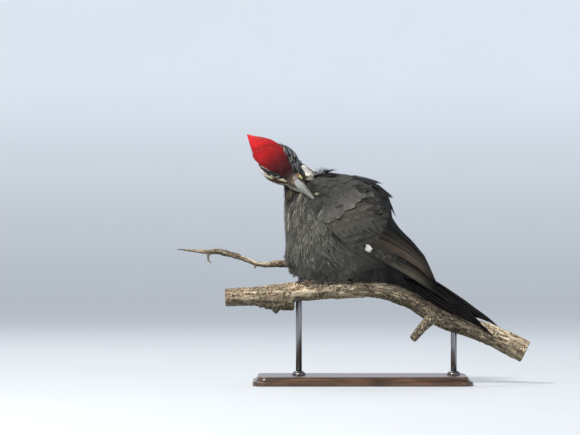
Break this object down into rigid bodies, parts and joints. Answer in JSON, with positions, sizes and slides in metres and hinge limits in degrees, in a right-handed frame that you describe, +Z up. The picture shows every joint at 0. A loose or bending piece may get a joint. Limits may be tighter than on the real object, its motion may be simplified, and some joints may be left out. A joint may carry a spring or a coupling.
{
  "type": "pileated woodpecker model on a display perch",
  "caption": "Life-size still model of a crested black woodpecker preening on a cut branch, held over a flat base by short rods.",
  "frame": {"origin": "middle of the underside of the stand's flat base", "axes": "+X towards the bird's tail along the branch, -Y towards the bird's left side, +Z up"},
  "size_m": [0.4704, 0.15, 0.3328],
  "materials": {
    "face_feathers": "short soft feathers, black with white and red stripes",
    "red_feathers": "silky scarlet crest feathers",
    "black_feathers": "loose charcoal black body feathers with greyer fringes",
    "flight_feathers": "smooth stiff black vanes with a slight sheen",
    "bill_horn": "satin grey horn, paler below",
    "eye": "glossy yellow iris with a black pupil",
    "foot_scales": "grey scaly skin",
    "claw_horn": "dark satin horn",
    "bark": "weathered dead wood with flaking bark",
    "base_wood": "dark stained wood under satin lacquer",
    "rod_steel": "darkened satin steel"
  },
  "bodies": {
    "root": {"head": "face_feathers", "crest": "red_feathers", "bill_upper": "bill_horn", "bill_lower": "bill_horn", "eye_left": "eye", "eye_right": "eye", "neck": "face_feathers", "trunk": "black_feathers", "wing_left": "flight_feathers", "wing_right": "flight_feathers", "tail_left": "flight_feathers", "tail_right": "flight_feathers", "leg_left": "black_feathers", "leg_right": "black_feathers", "foot_left": "foot_scales", "foot_right": "foot_scales", "perch": "bark", "perch_twig": "bark", "stand_base": "base_wood", "stand_rod_1": "rod_steel", "stand_rod_2": "rod_steel", "stand_collar_1": "rod_steel", "stand_collar_2": "rod_steel"}
  },
  "joints": []
}
